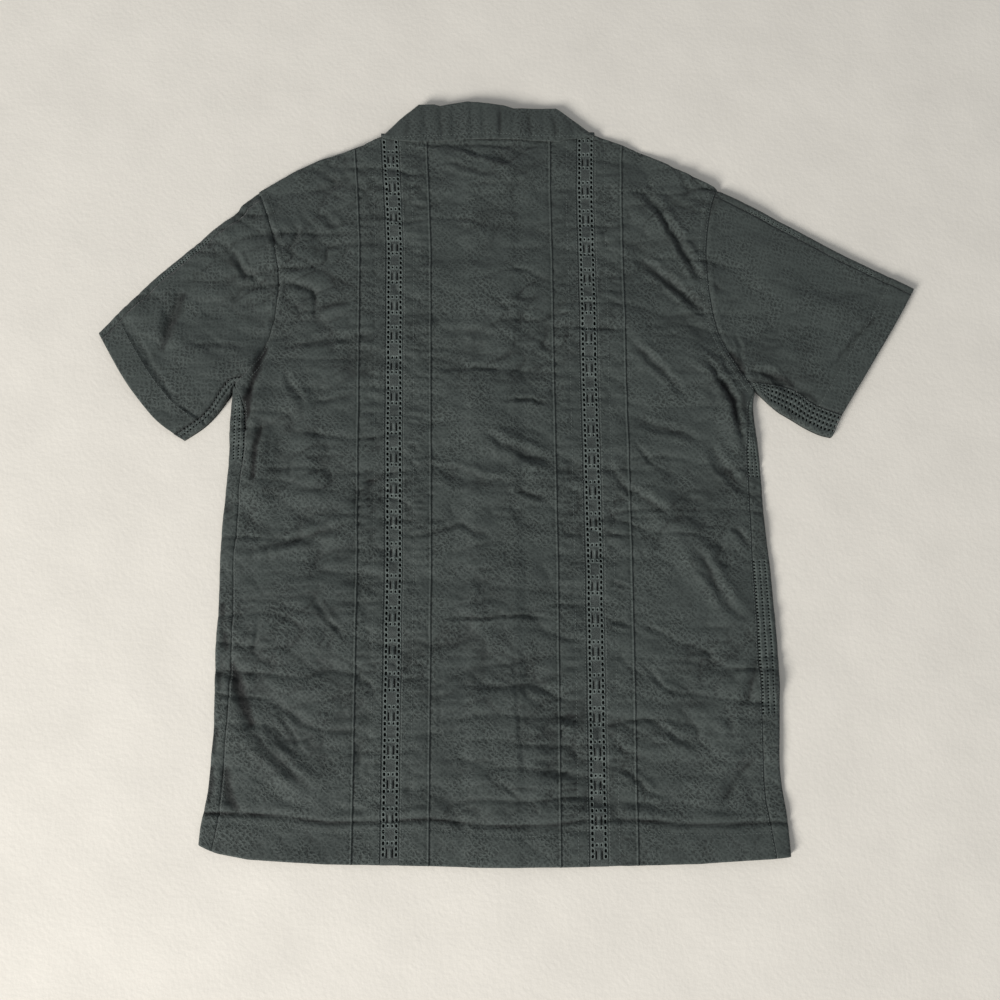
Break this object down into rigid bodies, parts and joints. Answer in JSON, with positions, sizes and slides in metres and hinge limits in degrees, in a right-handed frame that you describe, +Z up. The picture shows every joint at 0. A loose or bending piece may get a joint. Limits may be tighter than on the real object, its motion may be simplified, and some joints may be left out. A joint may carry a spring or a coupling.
{
  "type": "cabana shirt laid flat",
  "caption": "Short-sleeved open-collar shirt laid flat with its back up, with openwork lace bands let into the back.",
  "frame": {"origin": "centre of the bounding box on the floor plane, under the shirt", "axes": "+Z up from the floor, +Y from the hem toward the collar, +X toward the wearer's right sleeve"},
  "size_m": [0.8346, 0.7774, 0.0082],
  "materials": {
    "cotton": "matte textured weave with a slight sheen",
    "openwork": "matte openwork cotton",
    "button": "satin"
  },
  "bodies": {
    "root": {"back_centre": "cotton", "back_left": "cotton", "back_right": "cotton", "back_lace_left": "openwork", "back_lace_right": "openwork", "front_left": "cotton", "front_right": "cotton", "sleeve_left_back": "cotton", "sleeve_left_front": "cotton", "sleeve_right_back": "cotton", "sleeve_right_front": "cotton", "collar": "cotton", "button_1": "button", "button_2": "button", "button_3": "button", "button_4": "button", "button_5": "button", "button_6": "button"}
  },
  "joints": []
}
